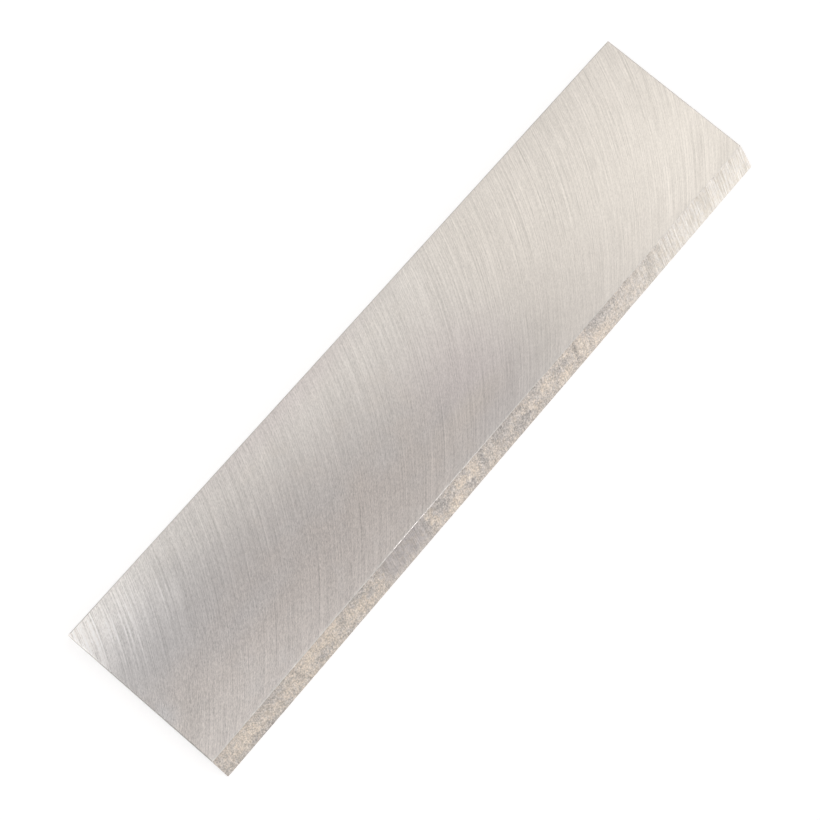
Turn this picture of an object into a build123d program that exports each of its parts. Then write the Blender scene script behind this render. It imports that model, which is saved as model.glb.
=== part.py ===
from build123d import *

import os
from math import radians, tan

# Wood chipper knife of the clamped kind: one flat steel bar, ground all over, with a single bevel along one
# long edge and no holes. Sizes are in millimetres. The knife lies on its flat clamping face, as it comes to
# rest on a bench: X runs along the knife, -Y points out past the cutting edge, +Z is up, and the origin is
# the middle of the underside.

# Driving dimensions
knife_length = 310.0  # along the cutting edge, from one square end to the other
knife_width = 75.0  # from the cutting edge to the back edge
knife_thickness = 8.0  # from the clamping face to the upper face
bevel_angle = 45.0  # between the bevel and the clamping face, in degrees
edge_break = 0.3  # chamfer that takes the burr off the back edges and the ends
shoulder_round = 0.4  # radius where the bevel runs out into the upper face

# Worked out from them
cutting_edge_y = -knife_width / 2
bevel_run = knife_thickness / tan(radians(bevel_angle))
shoulder_y = cutting_edge_y + bevel_run
grinding_overrun = knife_thickness  # how far the bevel cut passes the bar on its open sides

with BuildPart() as knife:
    # The blank is a flat bar with square ends
    with BuildSketch():
        Rectangle(knife_length, knife_width)
    extrude(amount=knife_thickness)

    # Its edges are broken, apart from those of the front face, which the bevel grinds away
    front_face = knife.faces().sort_by(Axis.Y)[0]
    chamfer(knife.edges() - front_face.edges(), edge_break)

    # The bevel is ground from the cutting edge, low on the front, up to the shoulder on the upper face
    with BuildSketch(Plane.YZ):
        with BuildLine():
            Polyline(
                (cutting_edge_y, 0),
                (shoulder_y, knife_thickness),
                (shoulder_y, knife_thickness + grinding_overrun),
                (cutting_edge_y - grinding_overrun, knife_thickness + grinding_overrun),
                (cutting_edge_y - grinding_overrun, 0),
                close=True,
            )
        make_face()
    extrude(amount=knife_length / 2 + grinding_overrun, both=True, mode=Mode.SUBTRACT)

    # Handling and light stoning leave the shoulder slightly round, while the cutting edge stays sharp
    upper_long_edges = knife.edges().filter_by(Axis.X).group_by(Axis.Z)[-1]
    fillet(upper_long_edges.sort_by(Axis.Y)[0], shoulder_round)

knife.part.label = "chipper_knife"

os.makedirs("parts", exist_ok=True)
export_step(knife.part, "parts/chipper_knife.step")
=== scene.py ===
# %% [markdown]
# # A wood chipper knife, ground all over
#
# The real thing is one flat bar of hard steel with square ends. A surface grinder has skimmed both large
# faces, and its wheel has left long curved marks. One long edge carries the bevel that does the cutting.
# There are no holes, because the chipper clamps the knife between two flat faces.
#
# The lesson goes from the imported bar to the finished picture: measure the frame, set the camera, machine
# the bar, wear it, give each ground surface its own finish, and light it as a product photographer would.

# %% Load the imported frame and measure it
import math

import bpy
from mathutils import Matrix, Vector, noise


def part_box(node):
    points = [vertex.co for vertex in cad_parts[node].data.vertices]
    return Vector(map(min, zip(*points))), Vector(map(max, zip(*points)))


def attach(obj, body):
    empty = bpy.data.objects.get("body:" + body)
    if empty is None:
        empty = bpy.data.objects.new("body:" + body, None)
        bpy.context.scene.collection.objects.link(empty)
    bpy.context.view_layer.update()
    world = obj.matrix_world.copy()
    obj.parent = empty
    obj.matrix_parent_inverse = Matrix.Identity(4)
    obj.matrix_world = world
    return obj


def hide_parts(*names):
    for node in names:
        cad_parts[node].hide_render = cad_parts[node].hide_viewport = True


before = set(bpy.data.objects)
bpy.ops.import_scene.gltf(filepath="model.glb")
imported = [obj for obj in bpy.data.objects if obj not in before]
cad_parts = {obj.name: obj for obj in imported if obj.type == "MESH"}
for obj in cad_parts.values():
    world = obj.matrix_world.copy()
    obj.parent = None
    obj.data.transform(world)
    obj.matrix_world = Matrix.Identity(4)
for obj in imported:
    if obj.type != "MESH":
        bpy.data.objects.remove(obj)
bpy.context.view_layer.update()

MM = 0.001
low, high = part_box("chipper_knife")
size = high - low
middle = (low + high) / 2
print("knife, in millimetres:", [round(side / MM, 1) for side in size])

# %% [markdown]
# ## The camera
#
# A camera can be set by three plain facts: where it stands, what it looks at, and which way is up in the
# picture. Here it hangs over the bench, a little to the near left of the knife, and is turned so that the
# knife runs from the lower left to the upper right of the frame. Turning the camera, and not the knife,
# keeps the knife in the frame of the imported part.

# %% Hang the camera over the bench
camera_place = Vector((-173.7, -73.0, 644.6)) * MM
aim_point = Vector((-12.3, -0.65, 8.0)) * MM
picture_up = Vector((0.727, 0.637, 0.257))
sensor_width = 36.0  # millimetres
picture_pixels = 820
focal_pixels = 1786.4  # how many pixels away the picture plane would lie
nearest_seen = 0.01  # metres

camera = bpy.data.objects.new("camera", bpy.data.cameras.new("camera"))
bpy.context.scene.collection.objects.link(camera)
bpy.context.scene.camera = camera
camera.data.sensor_width = sensor_width
camera.data.lens = sensor_width * focal_pixels / picture_pixels
camera.data.clip_start = nearest_seen

forward = (aim_point - camera_place).normalized()
right = forward.cross(picture_up).normalized()
up = right.cross(forward)
turn = Matrix((right, up, -forward)).transposed()
camera.matrix_world = Matrix.Translation(camera_place) @ turn.to_4x4()
print("lens, in millimetres:", round(camera.data.lens, 1))

# %% [markdown]
# ## The bar
#
# The knife starts as it does in the workshop, as a sawn bar. A cube is added at the bar's size and place,
# its sharp edges are broken with the bevel operator, and a bisect that throws away one side grinds the
# cutting bevel. Breaking the edges first and grinding last leaves the cutting edge keen, as on the real
# knife.

# %% Saw the bar and break its edges
edge_break = 0.3 * MM
break_strips = 2  # how many narrow faces each broken edge has


def select_edges(piece, wanted):
    """In edit mode, selects the edges whose two ends pass wanted."""
    bpy.ops.mesh.select_mode(type="EDGE")
    bpy.ops.mesh.select_all(action="DESELECT")
    bpy.ops.object.mode_set(mode="OBJECT")
    places = [vertex.co for vertex in piece.data.vertices]
    for edge in piece.data.edges:
        edge.select = wanted(*(places[i] for i in edge.vertices))
    bpy.ops.object.mode_set(mode="EDIT")


bpy.ops.object.select_all(action="DESELECT")
bpy.ops.mesh.primitive_cube_add(size=1, location=middle)
knife = bpy.context.object
knife.name = "ground_knife"
knife.scale = size
bpy.ops.object.transform_apply(location=True, rotation=False, scale=True)

bpy.ops.object.mode_set(mode="EDIT")
select_edges(knife, lambda a, b: max(a.y, b.y) > middle.y)
bpy.ops.mesh.bevel(offset=edge_break, segments=break_strips, affect="EDGES")
bpy.ops.object.mode_set(mode="OBJECT")
print("bar with its edges broken:", len(knife.data.polygons), "faces")

# %% Grind the cutting bevel and ease its shoulder
CLOSE = 1e-6  # two places nearer than this, in metres, count as one
bevel_angle = math.radians(45)
shoulder_ease = 0.17 * MM
cutting_edge = Vector((0, low.y, low.z))
bevel_normal = Vector((0, -math.sin(bevel_angle), math.cos(bevel_angle)))


def on_bevel(place, slack=CLOSE):
    """True where place lies on the plane of the bevel."""
    return abs((place - cutting_edge).dot(bevel_normal)) < slack


bpy.ops.object.mode_set(mode="EDIT")
bpy.ops.mesh.select_all(action="SELECT")
bpy.ops.mesh.bisect(plane_co=cutting_edge, plane_no=bevel_normal, use_fill=True, clear_outer=True,
                    threshold=CLOSE)
shoulder_zone = high.z - 2 * edge_break
select_edges(knife, lambda a, b: on_bevel(a) and on_bevel(b) and min(a.z, b.z) > shoulder_zone)
bpy.ops.mesh.bevel(offset=shoulder_ease, segments=break_strips, affect="EDGES")
bpy.ops.object.mode_set(mode="OBJECT")
print("bar with its bevel:", len(knife.data.polygons), "faces")

# %% [markdown]
# ## Rows and columns for the wear
#
# The grinding wheel has left low ridges across the bevel and a shoulder that isn't quite straight. To carve
# those, the mesh needs points where they lie. Bisects that touch only the bevel's faces cut it into rows up
# its slope, and two rounds of subdividing the lengthwise edges cut the bar into columns about half a
# millimetre wide. The flat faces get only one row beside each edge, which keeps their shading flat.

# %% Cut rows up the bevel
SAME_WAY = 0.999  # two directions count as one when their dot product is above this
UP = Vector((0, 0, 1))
ALONG = Vector((1, 0, 0))
BACK = Vector((0, 1, 0))
bevel_rows = 12
edge_row = 1.0 * MM
uphill = Vector((0, math.cos(bevel_angle), math.sin(bevel_angle)))
slope_length = size.z / math.sin(bevel_angle)
shoulder_y = low.y + size.z / math.tan(bevel_angle)


def select_faces(piece, wanted):
    """In edit mode, selects the faces whose normal passes wanted."""
    bpy.ops.mesh.select_mode(type="FACE")
    bpy.ops.mesh.select_all(action="DESELECT")
    bpy.ops.object.mode_set(mode="OBJECT")
    for face in piece.data.polygons:
        face.select = wanted(face.normal)
    bpy.ops.object.mode_set(mode="EDIT")


def cut_row(piece, facing, place, across):
    """Cuts the faces that look along facing with a plane through place, square to across."""
    select_faces(piece, lambda normal: normal.dot(facing) > SAME_WAY)
    bpy.ops.mesh.bisect(plane_co=place, plane_no=across, threshold=CLOSE)


bpy.ops.object.mode_set(mode="EDIT")
for end_cut in (low.x + edge_break, high.x - edge_break):
    bpy.ops.mesh.select_all(action="SELECT")
    bpy.ops.mesh.bisect(plane_co=(end_cut, 0, 0), plane_no=ALONG, threshold=CLOSE)
for row in range(1, bevel_rows):
    cut_row(knife, bevel_normal, cutting_edge + uphill * slope_length * row / bevel_rows, uphill)
cut_row(knife, UP, (0, shoulder_y + edge_row, 0), BACK)
cut_row(knife, -UP, (0, low.y + edge_row, 0), BACK)
bpy.ops.object.mode_set(mode="OBJECT")
print("bar with rows up its bevel:", len(knife.data.polygons), "faces")

# %% Cut columns along the bar
column_rounds = 2
cuts_a_round = 24
long_share = 0.9  # an edge is cut if it is longer than this share of the column it should cross

bpy.ops.object.mode_set(mode="EDIT")
column = size.x - 2 * edge_break
for _ in range(column_rounds):
    shortest = long_share * column
    select_edges(knife, lambda a, b: abs(a.x - b.x) > shortest)
    bpy.ops.mesh.subdivide(number_cuts=cuts_a_round)
    column /= cuts_a_round + 1
bpy.ops.object.mode_set(mode="OBJECT")
print("columns", round(column / MM, 2), "mm wide,", len(knife.data.polygons), "faces")

# %% [markdown]
# ## Wear on the bevel
#
# The far quarter of the bevel was ground last, with a coarser wheel, so its ridges are deeper there and it
# bites small teeth into the shoulder. Towards the near end the bevel gets a little steeper, which makes it
# narrower by almost a millimetre, and past the middle a second stretch is narrower by about a fifth of one.
# Moving points in code is like a sculpting pass that can be repeated: noise that changes fast along the bar
# and slowly up the slope gives ridges that run nearly straight up the bevel.

# %% Describe the wear, in millimetres from the near end and up the slope
ridge_lean = math.tan(math.radians(8))  # how far the ridges lean towards the far end as they climb
coarse_from = 226  # from here to coarse_full the coarse wheel's marks set in
coarse_full = 236
broad_ridges = (0.34, 0.04, 3.1)  # how fast they change along the bar and up the slope, and a seed
broad_depths = (0.012, 0.034)  # from the fine wheel and from the coarse one
narrow_ridges = (0.95, 0.09, 7.7)
narrow_depths = (0.005, 0.017)
teeth = (0.62, 0.0, 12.4)
teeth_depths = (0.06, 0.26)
teeth_reach = 2.5  # how far down from the shoulder the teeth go
teeth_share = 0.25  # more of this gives more teeth with less room between them
narrowing = 0.95  # how much narrower the bevel is where it's narrowest
narrow_from = -40  # the full narrowing would be reached here, beyond the near end
narrow_to = 210
shallow_dip = 0.22  # how much narrower the second stretch is
dip_sets_in = (160, 225)
dip_fades = (280, 250)  # it is whole up to the second number and gone beyond the first


def smooth_step(value, start, end):
    """Climbs smoothly from 0 at start to 1 at end."""
    share = min(max((value - start) / (end - start), 0), 1)
    return share * share * (3 - 2 * share)


def swing(kind, line, climb):
    """Noise about 0 for one kind of mark."""
    along_rate, up_rate, seed = kind
    return noise.noise(Vector((line * along_rate, climb * up_rate, seed)))


def depth_of(depths, coarse):
    """A depth between that of the fine wheel and that of the coarse one."""
    return depths[0] + (depths[1] - depths[0]) * coarse


def ground_away(place):
    """How far the wheel pushed this point of the bevel back, in metres."""
    along = (place.x - low.x) / MM
    climb = (place - cutting_edge).dot(uphill) / MM
    whole_climb = slope_length / MM
    line = along - ridge_lean * climb
    coarse = smooth_step(along, coarse_from, coarse_full)
    ridges = depth_of(broad_depths, coarse) * (1 + swing(broad_ridges, line, climb))
    ridges += depth_of(narrow_depths, coarse) * (1 + swing(narrow_ridges, line, climb))
    bite = depth_of(teeth_depths, coarse) * max(swing(teeth, line, climb) + teeth_share, 0)
    bite *= smooth_step(climb, whole_climb - teeth_reach, whole_climb)
    steeper = narrowing * smooth_step(along, narrow_to, narrow_from)
    steeper += shallow_dip * smooth_step(along, *dip_sets_in) * smooth_step(along, *dip_fades)
    return (ridges + bite - steeper * climb / whole_climb) * MM


# %% Carve the ridges and the ragged shoulder
keen_from = 205  # from here to keen_full the shoulder gets keener, because the far part is freshly ground
keen_full = 240
keenness = 0.75  # the share of its round that the shoulder loses there
ease_reach = 1.1 * shoulder_ease  # the points of the shoulder's round lie nearer to the corner than this

deepest = 0
for vertex in knife.data.vertices:
    corner = Vector((vertex.co.x, shoulder_y, high.z))
    if (vertex.co - corner).length < ease_reach:
        keen = keenness * smooth_step((vertex.co.x - low.x) / MM, keen_from, keen_full)
        vertex.co = vertex.co.lerp(corner, keen)
    if on_bevel(vertex.co, shoulder_ease):
        push = ground_away(vertex.co)
        vertex.co.y += push
        deepest = max(deepest, push)
print("deepest wear:", round(deepest / MM, 3), "mm")

# %% [markdown]
# ## Shading and the frame
#
# The bar is thousands of small faces by now, but it has to look like a few flat ones with crisp edges. Smooth
# shading hides the joins, its angle limit keeps the real edges, and the Weighted Normal modifier lets the
# large faces set the shade beside them, so that the thin broken edges don't smear it. Where a large face
# meets the broken edge of an end, the line is marked sharp too, because that edge is seen from nearly
# straight above and has to catch the light by itself. Then the knife rides on the part's one body and stands
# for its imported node.

# %% Shade the knife smooth, with flat faces kept flat
edge_angle = math.radians(50)  # faces that meet at less than this shade into each other
face_weight = 100  # the highest that the modifier takes: the largest face decides
face_end = size.x / 2 - edge_break


def at_face_end(place):
    """True where a large face meets the broken edge of an end."""
    on_large_face = not low.z + CLOSE < place.z < high.z - CLOSE
    return on_large_face and abs(abs(place.x) - face_end) < CLOSE


bpy.ops.object.select_all(action="DESELECT")
knife.select_set(True)
bpy.context.view_layer.objects.active = knife
bpy.ops.object.shade_smooth_by_angle(angle=edge_angle)
for edge in knife.data.edges:
    if all(at_face_end(knife.data.vertices[i].co) for i in edge.vertices):
        edge.use_edge_sharp = True
bpy.ops.object.modifier_add(type="WEIGHTED_NORMAL")
knife.modifiers[-1].keep_sharp = True
knife.modifiers[-1].weight = face_weight
bpy.ops.object.modifier_apply(modifier=knife.modifiers[-1].name)
print("sharp edges:", sum(edge.use_edge_sharp for edge in knife.data.edges))

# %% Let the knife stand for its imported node
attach(knife, "root")
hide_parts("chipper_knife")
print("knife:", sum(len(face.vertices) - 2 for face in knife.data.polygons), "triangles")

# %% [markdown]
# ## Helpers for the finishes
#
# Each finish is a small tree of nodes. A few helpers keep the trees readable: one adds a node and links what
# it is given, and the others are built on it. First come the helpers that reckon with numbers.


# %% Helpers that add nodes and reckon
def add_node(tree, kind, inputs=(), **settings):
    """Adds a node, sets its settings, and fills or links its inputs, given as {name or place: value}."""
    node = tree.nodes.new(kind)
    for name, value in settings.items():
        setattr(node, name, value)
    for name, value in dict(inputs).items():
        if isinstance(value, bpy.types.NodeSocket):
            tree.links.new(value, node.inputs[name])
        else:
            node.inputs[name].default_value = value
    return node


def maths(tree, operation, *values):
    """One step of arithmetic on numbers or sockets."""
    return add_node(tree, "ShaderNodeMath", dict(enumerate(values)), operation=operation).outputs[0]


def total(tree, *parts):
    """Adds up any number of numbers and sockets."""
    result = parts[0]
    for part in parts[1:]:
        result = maths(tree, "ADD", result, part)
    return result


def times(tree, first, second):
    """Multiplies two numbers or sockets."""
    return maths(tree, "MULTIPLY", first, second)


def weighted(tree, start, *pairs):
    """Adds to start each value times its weight, given as (value, weight)."""
    return total(tree, start, *(times(tree, value, weight) for value, weight in pairs))


def remap(tree, value, start, end, low_out=0.0, high_out=1.0):
    """Turns start to end into low_out to high_out, with a soft start and end."""
    fills = {"Value": value, "From Min": start, "From Max": end, "To Min": low_out, "To Max": high_out}
    return add_node(tree, "ShaderNodeMapRange", fills, interpolation_type="SMOOTHSTEP").outputs["Result"]


def zone(tree, *fades):
    """A zone with soft edges: each fade is (value, where it is still 0, where it has reached 1)."""
    result = remap(tree, *fades[0])
    for fade in fades[1:]:
        result = times(tree, result, remap(tree, *fade))
    return result


print("helpers for sums, products, soft ranges and zones are ready")

# %% [markdown]
# All the patterns read Object coordinates, turned into millimetres first, so every size in a finish can be
# checked against the real knife with a ruler. Two kinds of pattern are enough here: noise that is stretched
# into grains or lines, and soft oval patches that are placed one by one.


# %% Helpers for places and patterns
def vector_of(tree, x, y, z=0.0):
    """Joins three numbers or sockets into one vector."""
    return add_node(tree, "ShaderNodeCombineXYZ", {"X": x, "Y": y, "Z": z}).outputs["Vector"]


def scaled(tree, vector, factor):
    """Makes a vector or a colour larger by factor."""
    fills = {0: vector, "Scale": factor}
    return add_node(tree, "ShaderNodeVectorMath", fills, operation="SCALE").outputs[0]


def millimetres(tree):
    """How far the point lies from the near end, from the middle line and from the underside, in mm."""
    place = add_node(tree, "ShaderNodeTexCoord").outputs["Object"]
    fills = {0: place, 1: (low.x, middle.y, low.z)}
    moved = add_node(tree, "ShaderNodeVectorMath", fills, operation="SUBTRACT").outputs[0]
    return add_node(tree, "ShaderNodeSeparateXYZ", {0: scaled(tree, moved, 1 / MM)}).outputs


def grain(tree, x, y, width, length, seed, detail=2.0, harshness=0.5):
    """Noise about 0, mostly within 0.2 of it. Its marks are width across x and length along y, in mm."""
    place = vector_of(tree, maths(tree, "DIVIDE", x, width), maths(tree, "DIVIDE", y, length), seed)
    fills = {"Vector": place, "Scale": 1.0, "Detail": detail, "Roughness": harshness}
    return maths(tree, "SUBTRACT", add_node(tree, "ShaderNodeTexNoise", fills).outputs["Fac"], 0.5)


def soft_spot(tree, place, middle_at, half_sizes, turn_degrees=0.0):
    """A soft oval patch: 1 in its middle and 0 outside it, on the plane that place gives."""
    fills = {"Vector": place, "Location": (*middle_at, 0), "Rotation": (0, 0, math.radians(turn_degrees)),
             "Scale": (*half_sizes, 1)}
    inside = add_node(tree, "ShaderNodeMapping", fills, vector_type="TEXTURE").outputs["Vector"]
    ball = add_node(tree, "ShaderNodeTexGradient", {"Vector": inside}, gradient_type="SPHERICAL")
    return remap(tree, ball.outputs["Fac"], 0.0, 1.0)


def spots(tree, place, rows):
    """Adds up soft patches, each given as its middle, its half sizes, its turn and its strength."""
    return total(tree, *(times(tree, soft_spot(tree, place, *row[:3]), row[3]) for row in rows))


print("patterns count from", [round(start / MM, 1) for start in (low.x, middle.y, low.z)], "in millimetres")

# %% [markdown]
# Bare steel is the same shader in every finish: fully metallic, with a roughness, and with anisotropy on the
# faces and sides, where long scratches lie side by side. What differs most is the pattern in its colour.

# %% Helpers for bare steel
COLOUR_SOCKETS = (0, 6, 7)  # the Mix node has sockets for every kind of value: these mix two colours
COLOUR_RESULT = 2


def blend(tree, share, first, second):
    """Mixes two colours by share."""
    node = add_node(tree, "ShaderNodeMix", data_type="RGBA")
    for place, value in zip(COLOUR_SOCKETS, (share, first, second)):
        if isinstance(value, bpy.types.NodeSocket):
            tree.links.new(value, node.inputs[place])
        else:
            node.inputs[place].default_value = (*value, 1.0)
    return node.outputs[COLOUR_RESULT]


def bump(tree, height, depth):
    """The normal of a surface whose height goes up and down by depth, in millimetres."""
    fills = {"Strength": 1.0, "Distance": depth * MM, "Height": height}
    return add_node(tree, "ShaderNodeBump", fills).outputs["Normal"]


def new_steel(name, roughness, anisotropic):
    """A bare steel material. Returns it, its tree and its shader's sockets."""
    material = bpy.data.materials.new(name)
    material.use_nodes = True
    sockets = material.node_tree.nodes["Principled BSDF"].inputs
    sockets["Metallic"].default_value = 1.0
    sockets["Roughness"].default_value = roughness
    sockets["Anisotropic"].default_value = anisotropic
    return material, material.node_tree, sockets


print("helpers for bare steel are ready")

# %% [markdown]
# ## The ground faces
#
# A cup wheel skimmed the faces, and each grit left an arc as long as the wheel is wide. An arc that moves
# along the bar is found from two numbers: how far the point lies across the arcs, and how far along its own
# arc. Noise stretched along the arc gives the scratches. The same arcs turn the shader's tangent, because
# fine parallel scratches spread a highlight across themselves, and that is what makes the broad dark band
# run aslant over the face.

# %% Find the arcs of the grinding wheel
wheel_radius = 169.0
wheel_line = 106.2  # where the wheel's middle travelled, in millimetres from the middle line of the bar
middle_reach = math.sqrt(wheel_radius ** 2 - wheel_line ** 2)


def wheel_arcs(tree, x, y):
    """Where a point's arc crosses the middle line, how far along it the point is, and the way across."""
    from_line = maths(tree, "SUBTRACT", wheel_line, y)
    squares = maths(tree, "SUBTRACT", wheel_radius ** 2, times(tree, from_line, from_line))
    reach = maths(tree, "SQRT", squares)
    crossing = total(tree, x, times(tree, reach, -1.0), middle_reach)
    along = times(tree, maths(tree, "ARCTAN2", from_line, reach), wheel_radius)
    across = vector_of(tree, reach, times(tree, from_line, -1.0))
    return crossing, along, across


print("the arcs cross the middle line", round(middle_reach, 1), "mm ahead of the wheel's middle")

# %% [markdown]
# Noise alone looks even, and a ground face isn't. Single scratches at the near corner carry painted glints,
# and one stays dark, and the patches there add a painted highlight. Elsewhere broad patches are a little
# lighter or darker than the rest. Each row of these tables is one of them. They are placed on the unrolled
# arcs, so a patch bends as the marks do.

# %% List the scratches and patches of the faces
# the lighter scratches and patches of the near corner are painted glints and a painted highlight
scratches_and_glints = (  # where the arc crosses the middle line and how far from the back; half sizes; turn; strength
    ((-14.5, 3), (0.5, 7), -3, 0.12),
    ((-12.0, 5), (0.6, 10), -3, 0.18),
    ((-9.0, 8), (0.5, 14), -3, 0.12),
    ((-5.6, 13), (0.7, 20), -3, 0.27),
    ((-2.4, 14), (1.2, 14), -3, -0.09),
    ((2.4, 15), (0.7, 24), -3, 0.29),
    ((5.2, 5), (0.5, 12), -3, 0.12),
    ((8.0, 10), (0.5, 16), -3, 0.08),
    ((10.5, 16), (0.5, 22), -3, 0.17),
    ((13.8, 12), (0.5, 16), -3, 0.10),
    ((16.7, 12), (0.5, 16), -3, 0.15),
    ((19.8, 16), (0.5, 8), -3, 0.15),
    ((22.6, 20), (0.5, 7), -3, 0.13),
    ((53.3, 13), (1.0, 24), 0, 0.07),
    ((66.8, 34), (0.9, 20), 0, 0.09),
    ((126.0, 37), (0.8, 14), 0, 0.06),
    ((164.0, 14), (2.0, 14), 0, 0.04),
    ((206.5, 22), (2.0, 14), 0, 0.04),
    ((222.0, 10), (1.6, 18), 0, 0.07),
    ((247.0, 4), (0.9, 8), 0, -0.08),
    ((270.5, 4), (1.0, 9), 0, -0.10),
    ((284.0, 12), (0.9, 20), 0, -0.07),
)
patches_and_highlight = (
    ((-16.0, 9), (4, 12), 0, 0.04),
    ((-13.0, 18), (5, 14), 0, 0.06),
    ((-10.0, 1), (22, 4), 0, -0.03),
    ((-9.0, 14), (8, 10), 0, 0.04),
    ((-5.0, 9), (18, 7), 0, 0.05),
    ((4.0, 7), (4, 8), 0, -0.07),
    ((15.5, 17), (5, 6), 0, 0.04),
    ((20.0, 9), (3.5, 12), 0, -0.07),
    ((22.5, 11), (8, 5), 0, -0.05),
    ((23.0, 52), (14, 16), 0, -0.09),
    ((24.5, 19), (5, 6), 0, 0.06),
    ((28.5, 47), (14, 5), -15, 0.06),
    ((38.0, 66), (12, 8), 0, -0.05),
    ((39.0, 25), (9, 11), 0, -0.045),
    ((40.0, 6), (4, 8), 0, -0.07),
    ((62.0, 18), (5, 7), 0, 0.04),
    ((69.0, 30), (6, 9), 0, -0.06),
    ((81.0, 17), (5, 9), 0, 0.04),
    ((90.0, 1), (100, 9), 0, -0.07),
    ((130.0, 0), (180, 4), 0, -0.035),
    ((158.0, 47), (8, 8), 0, -0.045),
    ((172.0, 44), (16, 14), 0, -0.04),
    ((173.0, 38), (4, 18), 0, 0.045),
    ((180.0, 6), (3, 12), 0, -0.03),
    ((194.0, 14), (4, 14), 0, -0.04),
    ((195.0, 60), (45, 18), 0, -0.06),
    ((231.0, 14), (4, 22), 0, 0.055),
    ((243.0, 13), (8, 12), 0, 0.045),
    ((276.0, 10), (34, 22), 0, 0.04),
    ((276.5, 15), (4, 20), 0, -0.045),
    ((289.0, 60), (6, 10), 0, -0.06),
    ((290.0, 60), (18, 14), 0, 0.04),
    ((317.0, 54), (14, 12), 0, -0.06),
    ((331.0, 63), (10, 9), 0, -0.06),
)
print(len(scratches_and_glints), "scratches and", len(patches_and_highlight), "patches on the faces")

# %% [markdown]
# Ground steel isn't one colour either. It is coolest at the near end by the back edge, faintly pink or warm in
# the middle, and a little warmer over the far half. A few named tones, each blended in over a soft oval, are
# enough, because the changes are slow ones.

# %% Choose the tones of the steel
near_steel = (0.740, 0.719, 0.699)
far_steel = (0.745, 0.717, 0.687)
cool_steel = (0.727, 0.719, 0.711)
pink_steel = (0.750, 0.712, 0.703)
warm_steel = (0.755, 0.716, 0.680)
tints = (  # along the bar and from the back edge; half sizes; colour
    ((18, 19), (60, 28), cool_steel),
    ((14, 24), (24, 16), cool_steel),
    ((168, 44), (36, 32), pink_steel),
    ((115, 0), (70, 12), pink_steel),
    ((48, 42), (44, 9), near_steel),
    ((98, 36), (14, 12), near_steel),
    ((124, 42), (14, 10), near_steel),
    ((0, 44), (10, 9), cool_steel),
    ((157, 55), (30, 8), warm_steel),
)


def face_tone(tree, x, y, from_back):
    """The colour of the steel before the marks: it turns warmer in cloudy patches, most on the near half."""
    clouds = times(tree, grain(tree, x, y, 9.0, 9.0, 14.5), remap(tree, x, 190.0, 150.0, 0.3, 1.5))
    low_near = zone(tree, (from_back, 28.0, 46.0), (x, 170.0, 110.0))
    tone = blend(tree, remap(tree, x, 170.0, 215.0), near_steel, far_steel)
    tone = blend(tree, total(tree, low_near, clouds), tone, warm_steel)
    place = vector_of(tree, x, from_back)
    for middle_at, half_sizes, colour in tints:
        tone = blend(tree, soft_spot(tree, place, middle_at, half_sizes), tone, colour)
    return tone


print(len(tints), "places lean towards another tone")

# %% [markdown]
# The marks themselves are noise at four lengths, each stretched along the arc. How strongly they show changes
# over the face: most at the near corner of the back edge, where they also carry a painted highlight, and least
# in a calm stretch a little before the middle. Where the table moved the knife on for the next pass, the wheel
# left one dark line, so these lines repeat at an even step.

# %% Make the finish of the two ground faces
face_roughness = 0.4
long_mark = (0.5, 60.0)  # width and length of the marks, in millimetres
short_mark = (0.42, 9.0)
fine_mark = (0.42, 24.0)
speck = (0.42, 0.9)
mark_depth = 0.004  # millimetres
table_step = 23.4  # the table moved on this far for each pass, and each pass left one dark line
first_step = 41.5
step_width = 0.5
steps_show = ((112, 54), (140, 16))  # where the dark lines show: middle and half sizes
calm_stretch = ((130, 18), (75, 34))


def face_strength(tree, x, from_back, crossing, along, long_marks, short_marks):
    """How much the marks lighten or darken the steel (1 leaves it as is), with a painted near-corner
    highlight.
    """
    # painted highlight: the near corner of the back edge gets stronger marks and painted glints
    corner = zone(tree, (x, 48.0, -6.0), (from_back, 30.0, 6.0))
    low_near = zone(tree, (x, 200.0, 90.0), (from_back, 25.0, 45.0))
    low_far = zone(tree, (x, 150.0, 185.0), (x, 285.0, 240.0), (from_back, 35.0, 58.0))
    calm = soft_spot(tree, vector_of(tree, x, from_back), *calm_stretch)
    specks = grain(tree, crossing, along, *speck, 9.5, detail=3.0, harshness=0.7)
    bright_marks = remap(tree, grain(tree, crossing, along, *fine_mark, 5.5, harshness=0.6), 0.0, 0.2)
    streak = weighted(tree, 0.60, (low_near, -0.1), (low_far, -0.17), (corner, 0.6), (calm, -0.14))
    speckle = weighted(tree, remap(tree, x, 20.0, 300.0, 0.85, 0.55), (corner, 0.3), (low_near, 0.35))
    painted_glints = weighted(tree, 0.16, (bright_marks, 0.5))

    unrolled = vector_of(tree, crossing, from_back)
    from_step = maths(tree, "PINGPONG", maths(tree, "SUBTRACT", crossing, first_step), table_step / 2)
    step_lines = times(tree, remap(tree, from_step, step_width, 0.0), soft_spot(tree, unrolled, *steps_show))
    placed = spots(tree, unrolled, scratches_and_glints + patches_and_highlight)
    return weighted(tree, total(tree, 1.0, placed), (long_marks, streak), (short_marks, 0.3),
                    (specks, speckle), (painted_glints, corner), (step_lines, -0.2))


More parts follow.
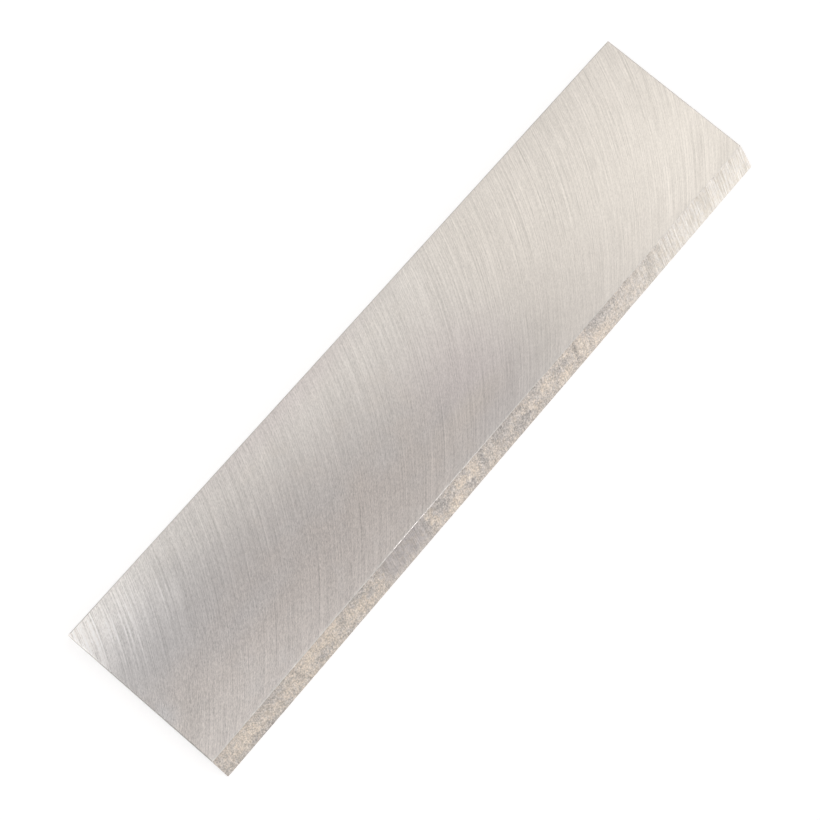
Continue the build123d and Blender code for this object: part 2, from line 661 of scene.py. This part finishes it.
def face_finish():
    """Steel with the arcs of the cup wheel."""
    material, tree, sockets = new_steel("ground_face", face_roughness, 1.0)
    x, y = millimetres(tree)[:2]
    from_back = maths(tree, "SUBTRACT", high.y / MM, y)
    crossing, along, across = wheel_arcs(tree, x, y)
    long_marks = grain(tree, crossing, along, *long_mark, 1.0, harshness=0.6)
    short_marks = grain(tree, crossing, along, *short_mark, 2.0)
    strength = face_strength(tree, x, from_back, crossing, along, long_marks, short_marks)
    tangent = add_node(tree, "ShaderNodeVectorMath", {0: across}, operation="NORMALIZE").outputs[0]
    tree.links.new(tangent, sockets["Tangent"])
    tree.links.new(scaled(tree, face_tone(tree, x, y, from_back), strength), sockets["Base Color"])
    tree.links.new(bump(tree, total(tree, long_marks, short_marks), mark_depth), sockets["Normal"])
    return material


ground_face = face_finish()
print("ground faces: arcs of", wheel_radius, "mm,", len(ground_face.node_tree.nodes), "nodes")

# %% [markdown]
# ## The bevel
#
# The bevel was ground across its width. Near the near end the wheel has left a dull, grainy skin with a straw
# tint from the heat, which is stronger in some patches and gone in others. Farther along comes a clean grey
# stretch, then stained steel again, crossed by a few dark streaks, and the far quarter is bright and fresh.

# %% List the heat patches and dark streaks of the bevel
straw_patches = (  # along the bar and up the slope; half sizes; turn; strength
    ((15, 6.5), (16, 7), 0, 0.2),
    ((36, 6), (7, 6), 0, 0.15),
    ((48.5, 8), (6, 8), 0, 0.33),
    ((60, 9), (13, 5), 0, 0.2),
    ((69, 9.5), (5, 4), 0, 0.05),
    ((75, 4), (9, 4), 0, 0.15),
    ((87, 6), (3.5, 6), 0, 0.25),
    ((117.8, 6), (3.2, 11), 22, 0.45),
    ((129, 2.5), (8, 4.5), 25, 0.6),
    ((134.5, 7.5), (6, 3.2), 0, 0.65),
    ((141.5, 7), (4, 8), -15, 0.5),
    ((150, 4), (5, 5), 0, 0.08),
    ((164, 8), (4, 4), 0, 0.25),
    ((175.5, 6), (4, 8), 30, 0.35),
    ((184, 7.5), (8, 4.5), -20, 0.45),
    ((193.5, 3), (7, 4), 0, 0.6),
    ((198.5, 9.5), (3.5, 3.5), 0, 0.4),
    ((206, 6), (4.5, 11), -15, 0.45),
    ((216, 2.5), (12, 5), 0, 0.35),
)
grey_patches = (
    ((1, 5), (6, 14), 0, -0.3),
    ((9, 9), (4, 4), 0, -0.25),
    ((20, 0.5), (30, 3.5), 0, -0.45),
    ((21.5, 7), (3, 4), 0, -0.3),
    ((30, 10), (13, 5), 0, -0.5),
    ((34, 8), (5, 5), 0, -0.3),
    ((54, 3.5), (9, 3.5), 0, -0.5),
    ((66, 6.5), (4, 9), -35, -0.3),
    ((73, 0), (12, 4), 0, -0.45),
    ((78, 10.5), (10, 4), 0, -0.6),
    ((82.5, 6), (4, 4), 0, -0.55),
    ((87.5, 10), (5, 5), 0, -0.3),
    ((114.5, 8), (3, 5), 0, -0.4),
    ((123.5, 8), (6, 6), 0, -0.55),
    ((131, 7), (3, 4), 20, -0.25),
    ((138, 3.5), (6, 2.6), -25, -0.5),
    ((138, 8.5), (3, 3), 0, -0.35),
    ((147.2, 8), (2.4, 8), -5, -0.65),
    ((159, 6), (5, 5), 0, -0.25),
    ((161, 10), (12, 5), 0, -0.5),
    ((168, 4), (9, 4), 0, -0.5),
    ((174, 10), (4, 4), 0, -0.3),
    ((178, 2), (6, 4), 0, -0.25),
    ((179, 6.5), (3, 3), 0, -0.35),
    ((181, 10.5), (5, 4), 0, -0.5),
    ((191, 8), (9, 4.5), 0, -0.25),
    ((217, 10), (13, 5), 0, -0.35),
)
dark_streaks = (
    ((20.0, 0.5), (36, 4.0), 0, -0.045),
    ((40.0, 6.0), (75, 60), 0, -0.04),
    ((42.8, 7.0), (1.6, 9), 15, -0.2),
    ((102.0, 10.5), (15, 4.5), 0, -0.045),
    ((147.2, 8.0), (1.8, 7), -5, -0.10),
    ((171.5, 8.0), (1.5, 7), 20, -0.08),
    ((202.6, 7.0), (1.6, 9), -15, -0.24),
    ((248.0, 5.0), (4.0, 18), -8, -0.13),
    ((255.0, 9.0), (2.0, 6), -8, -0.05),
    ((277.0, 5.0), (3.0, 12), -8, -0.07),
    ((298.0, 6.0), (2.5, 9), -8, -0.04),
)
print(len(straw_patches), "straw patches,", len(grey_patches), "grey ones and", len(dark_streaks), "streaks")

# %% [markdown]
# The stained steel is a blend of grey and straw by one number, the warmth, which adds up all that the heat
# did. The same number also makes it lighter, because the dull skin is lightest where it is straw. The place
# of each patch is pushed about by noise, which frays its outline.

# %% Make the stained part of the bevel
clean_from = 90.0  # the smooth grey stretch, in millimetres from the near end
clean_to = 114.0
low_light_place = ((103, 0), (24, 1))
grey = (0.655, 0.624, 0.594)
clean_grey = (0.655, 0.624, 0.610)
straw = (0.715, 0.638, 0.545)


def stained_steel(tree, x, climb, line, grit, warm_grit, streaks, shade):
    """Dull steel with a grainy skin and heat tints, and one clean grey stretch."""
    ragged = grain(tree, x, climb, 2.2, 2.2, 11.0, detail=4.0)
    ragged_x = total(tree, x, times(tree, ragged, 8.0))
    ragged_place = vector_of(tree, ragged_x, total(tree, climb, times(tree, ragged, 6.0)))
    clean = zone(tree, (ragged_x, clean_from - 3, clean_from + 4), (ragged_x, clean_to + 3, clean_to - 4))
    clean = times(tree, clean, remap(tree, climb, 0.5, 4.0, 0.5, 1.0))
    near = remap(tree, x, clean_from, clean_from - 8)
    placed = spots(tree, ragged_place, straw_patches + grey_patches)
    wander = grain(tree, line, climb, 9.0, 7.0, 4.0)
    heat = weighted(tree, placed, (near, 0.26), (clean, -0.3), (wander, 0.5))
    warmth = total(tree, 0.32, heat, times(tree, warm_grit, 1.7))
    tone = blend(tree, remap(tree, warmth, -0.35, 1.25), blend(tree, clean, grey, clean_grey), straw)

    low_light = soft_spot(tree, vector_of(tree, x, 0.0), *low_light_place)
    low_light = times(tree, low_light, remap(tree, climb, 3.5, 1.0))
    skin = total(tree, times(tree, grit, 2.0), times(tree, ragged, 0.45))
    skin_shows = weighted(tree, 1.0, (clean, -0.6))
    streaks_show = remap(tree, clean, 0.0, 1.0, 0.4, 0.75)
    strength = weighted(tree, total(tree, 0.97, shade), (heat, 0.3), (skin, skin_shows), (low_light, 0.07),
                        (streaks, streaks_show))
    return scaled(tree, tone, strength)


print("clean stretch:", clean_to - clean_from, "mm long")

# %% [markdown]
# The far quarter has no heat stain. It is bright steel with the coarse wheel's streaks, some of them a little
# warmer, and it gets slightly lighter down the slope. One material then fades from the stained steel to this
# one, and the grit and the streaks also roughen its surface.

# %% Make the finish of the bevel
bevel_roughness = 0.4
bevel_mark_depth = 0.02  # millimetres
fresh_steel = (0.82, 0.805, 0.77)
fresh_warm = (0.84, 0.795, 0.71)
fresh_from = coarse_from - 14.0
fresh_full = coarse_full + 46.0


def fresh_part(tree, climb, grit, warm_grit, streaks, shade):
    """Bright steel as the coarse wheel left it."""
    slope_light = remap(tree, climb, 11.3, 0.0, -0.03, 0.04)
    warm_lines = maths(tree, "SUBTRACT", times(tree, warm_grit, 0.7), streaks)
    tone = blend(tree, remap(tree, warm_lines, -0.25, 0.25), fresh_steel, fresh_warm)
    return scaled(tree, tone, total(tree, 0.98, streaks, times(tree, grit, 0.4), slope_light, shade))


def bevel_finish():
    """The stained steel that turns into the fresh one."""
    material, tree, sockets = new_steel("ground_bevel", bevel_roughness, 0.0)
    x, _, z = millimetres(tree)
    climb = times(tree, z, slope_length / size.z)
    line = maths(tree, "SUBTRACT", x, times(tree, climb, ridge_lean))
    grit = grain(tree, x, climb, 0.5, 0.7, 2.5, detail=3.0, harshness=0.65)
    warm_grit = grain(tree, x, climb, 1.0, 1.5, 3.5, harshness=0.6)
    broad_streaks = grain(tree, line, climb, 0.9, 40.0, 6.5)
    fine_streaks = grain(tree, line, climb, 0.34, 8.0, 7.5, harshness=0.7)
    streaks = total(tree, times(tree, broad_streaks, 0.3), times(tree, fine_streaks, 1.1))
    top_light = total(tree, remap(tree, x, 195.0, 215.0, 0.0, -0.045),
                      remap(tree, x, 250.0, 275.0, 0.0, 0.04))
    shade = weighted(tree, spots(tree, vector_of(tree, x, climb), dark_streaks),
                     (top_light, remap(tree, climb, 7.5, 11.0)))

    stained = stained_steel(tree, x, climb, line, grit, warm_grit, streaks, shade)
    fresh = fresh_part(tree, climb, grit, warm_grit, streaks, shade)
    freshness = remap(tree, x, fresh_from, fresh_full)
    tree.links.new(blend(tree, freshness, stained, fresh), sockets["Base Color"])
    tree.links.new(bump(tree, total(tree, grit, streaks), bevel_mark_depth), sockets["Normal"])
    return material


ground_bevel = bevel_finish()
print("bevel:", len(ground_bevel.node_tree.nodes), "nodes")

# %% [markdown]
# ## The back, the ends and the broken edges
#
# The back and ends were ground lengthwise with a plain wheel and aren't handled in use, so one material with
# fine lines that run round the bar serves them. The broken edges were only dressed with a stone, which left
# them duller than the faces beside them. At the near end they carry a painted highlight towards the back and
# painted shade over the rest, and they are a little lighter at the far end.

# %% Make the finishes of the sides and the broken edges
side_line = (0.12, 14.0)  # width and length of the marks, in millimetres
side_steel = (0.74, 0.72, 0.69)
stoned_steel = (0.57, 0.55, 0.52)


def side_finish():
    """Steel with fine lines that run round the bar."""
    material, tree, sockets = new_steel("ground_sides", 0.38, 0.6)
    x, y, z = millimetres(tree)
    round_bar = maths(tree, "ADD", x, y)
    lines = grain(tree, z, round_bar, *side_line, 3.0)
    specks = grain(tree, round_bar, z, *speck, 8.0)
    strength = weighted(tree, 0.96, (lines, 0.4), (specks, 0.2))
    tree.links.new(scaled(tree, side_steel, strength), sockets["Base Color"])
    tree.links.new(remap(tree, lines, -0.2, 0.2, 0.32, 0.45), sockets["Roughness"])
    return material


def edge_finish():
    """Dull stoned steel, with painted highlight and shade along the near end and a lighter far end."""
    material, tree, sockets = new_steel("stoned_edge", 0.6, 0.0)
    x, y, z = millimetres(tree)
    specks = grain(tree, maths(tree, "ADD", x, z), y, 0.6, 0.6, 17.0)
    near_end = remap(tree, x, 1.5, 0.5)
    far_end = remap(tree, maths(tree, "SUBTRACT", size.x / MM, x), 1.5, 0.5)
    # painted highlight and shade: along the near end the edge is lighter by the back and darker over the rest
    painted_end_light = remap(tree, y, 14.0, 36.0, -0.22, 0.6)
    strength = weighted(tree, 1.0, (specks, 0.5), (near_end, painted_end_light), (far_end, 0.15))
    tree.links.new(scaled(tree, stoned_steel, strength), sockets["Base Color"])
    return material


ground_sides = side_finish()
stoned_edge = edge_finish()
print("sides and edges:", ground_sides.name, "and", stoned_edge.name)

# %% [markdown]
# The shoulder of the bevel is a strip only about 0.3 mm wide, but it is seen because it looks another way
# than the faces on both sides. It is matt and pale, polished bright for some centimetres before the middle
# of the bar, and has three short painted glints near the near end, where a chip would catch the light.

# %% Make the finish of the shoulder
# painted glints: three chips of the shoulder are painted lighter, as light that catches them
painted_glint_flecks = (  # where a chip of the shoulder is lighter, in millimetres from the near end
    ((0.6, 0), (1.8, 1), 0, 0.25),
    ((22.0, 0), (1.4, 1), 0, 0.2),
    ((43.5, 0), (3.0, 1), 0, 0.15),
)
matt_steel = (1.0, 0.98, 0.94)
polished_steel = (0.85, 0.83, 0.80)
matt_roughness = 0.5
polish = 0.28  # how much less rough the polished stretch is


def shoulder_finish():
    """Matt pale steel with a polished stretch, a few chips and three painted glints."""
    material, tree, sockets = new_steel("bright_shoulder", matt_roughness, 0.0)
    x = millimetres(tree)[0]
    chips = grain(tree, x, 0.0, 2.2, 1.0, 18.0)
    polished = zone(tree, (x, 94.0, 100.0), (x, 160.0, 106.0), (chips, -0.12, 0.05))
    painted_flecks = spots(tree, vector_of(tree, x, 0.0), painted_glint_flecks)
    lightness = total(tree, remap(tree, x, 70.0, 200.0, 0.79, 0.70), remap(tree, x, 220.0, 270.0, 0.0, 0.06),
                      times(tree, chips, 0.35), painted_flecks)
    matt = scaled(tree, matt_steel, lightness)
    tree.links.new(blend(tree, polished, matt, polished_steel), sockets["Base Color"])
    tree.links.new(weighted(tree, matt_roughness, (polished, -polish)), sockets["Roughness"])
    return material


bright_shoulder = shoulder_finish()
print("shoulder:", len(painted_glint_flecks), "painted_flecks")

# %% [markdown]
# ## One finish for each face
#
# A machined part tells its surfaces apart by the way they look, and so does the code: straight up or down is
# a ground face, square to the slope is the bevel, square to the bar is a side, and what is left between them
# is a broken edge. The wear has turned the bevel's faces a little, so its limit is looser.

# %% Give each face of the mesh its finish
finishes = (ground_face, ground_bevel, ground_sides, stoned_edge, bright_shoulder)
FACE, BEVEL, SIDES, EDGES, SHOULDER = range(len(finishes))
BEVEL_WAY = 0.98  # how nearly a face has to look as the bevel does, or as a side does
SIDE_WAY = 0.99
LEANS_FORWARD = -0.02  # the shoulder's faces lean at least this much towards the bevel
MOSTLY_UP = 0.5
for finish in finishes:
    knife.data.materials.append(finish)


def finish_of(face):
    """Which finish a face of the mesh has, from where it looks."""
    if abs(face.normal.z) > SAME_WAY:
        return FACE
    if face.normal.dot(bevel_normal) > BEVEL_WAY:
        return BEVEL
    if face.normal.y < LEANS_FORWARD and face.normal.z > MOSTLY_UP:
        return SHOULDER
    if max(abs(part) for part in face.normal) > SIDE_WAY:
        return SIDES
    return EDGES


for face in knife.data.polygons:
    face.material_index = finish_of(face)
print("finishes:", [finish.name for finish in knife.data.materials])

# %% [markdown]
# ## The floor
#
# A product like this is photographed on white, so the floor is pale and matt. The part of its brightness that
# only the camera and mirrors see keeps the background white without more light on the steel.

# %% Lay the floor
floor_size = 14.0
floor_drop = 0.2 * MM  # the floor lies this far under the knife, so the two faces never fight
floor_colour = (0.5, 0.5, 0.5, 1.0)
floor_glow = 0.63

bpy.ops.object.select_all(action="DESELECT")
bpy.ops.mesh.primitive_plane_add(size=floor_size, location=(0, 0, low.z - floor_drop))
floor = bpy.context.object
floor.name = "floor"


def floor_finish():
    """Matt pale paint that glows only for the camera, for mirrors and through glass."""
    material = bpy.data.materials.new("white_floor")
    material.use_nodes = True
    tree = material.node_tree
    sockets = tree.nodes["Principled BSDF"].inputs
    sockets["Base Color"].default_value = floor_colour
    sockets["Roughness"].default_value = 1.0
    sockets["Specular IOR Level"].default_value = 0.0
    sockets["Emission Color"].default_value = (1.0, 1.0, 1.0, 1.0)
    rays = add_node(tree, "ShaderNodeLightPath").outputs
    seen = maths(tree, "MAXIMUM", rays["Is Camera Ray"], rays["Is Glossy Ray"])
    seen = maths(tree, "MAXIMUM", seen, rays["Is Transmission Ray"])
    tree.links.new(times(tree, seen, floor_glow), sockets["Emission Strength"])
    return material


floor.data.materials.append(floor_finish())
print("floor:", floor_size, "m across")

# %% [markdown]
# ## The studio light
#
# Two long soft strips hang over the bench, side by side, and the dark gap between them gives the face its
# dark band. A larger, dimmer card stands low beside the bevel, and one small bright lamp gives the polished
# shoulder its glint. All four are painted on the world by direction, as soft ovals on a flat map of the sky.

# %% Light the bench with soft strips
soft_lamps = (  # middle and half sizes on the map of the sky; turn; colour
    ((-0.75, 0.45), (2.3, 0.155), 145, (2.6, 2.7, 2.7)),
    ((0.39, 0.16), (0.65, 0.14), 135, (2.75, 2.7, 2.45)),
    ((0.75, -0.72), (0.75, 0.45), 40, (1.1, 1.07, 1.04)),
    ((0.205, -0.5), (0.05, 0.3), 0, (6.0, 6.0, 6.0)),
)
room = (0.57, 0.54, 0.54)
flat_map = (1, 1, 0)  # a direction without its height is a place on the map

world = bpy.data.worlds.new("studio")
bpy.context.scene.world = world
world.use_nodes = True
tree = world.node_tree
tree.nodes.clear()
direction = add_node(tree, "ShaderNodeTexCoord").outputs["Generated"]
sky = add_node(tree, "ShaderNodeVectorMath", {0: direction, 1: flat_map}, operation="MULTIPLY").outputs[0]
light = room
for middle_at, half_sizes, turn_degrees, colour in soft_lamps:
    lamp = scaled(tree, colour, soft_spot(tree, sky, middle_at, half_sizes, turn_degrees))
    light = add_node(tree, "ShaderNodeVectorMath", {0: light, 1: lamp}, operation="ADD").outputs[0]
background = add_node(tree, "ShaderNodeBackground", {"Color": light})
add_node(tree, "ShaderNodeOutputWorld", {"Surface": background.outputs[0]})
print("light:", len(soft_lamps), "soft lamps in a dim room")

# %% Set the view transform
bpy.context.scene.view_settings.view_transform = "Standard"
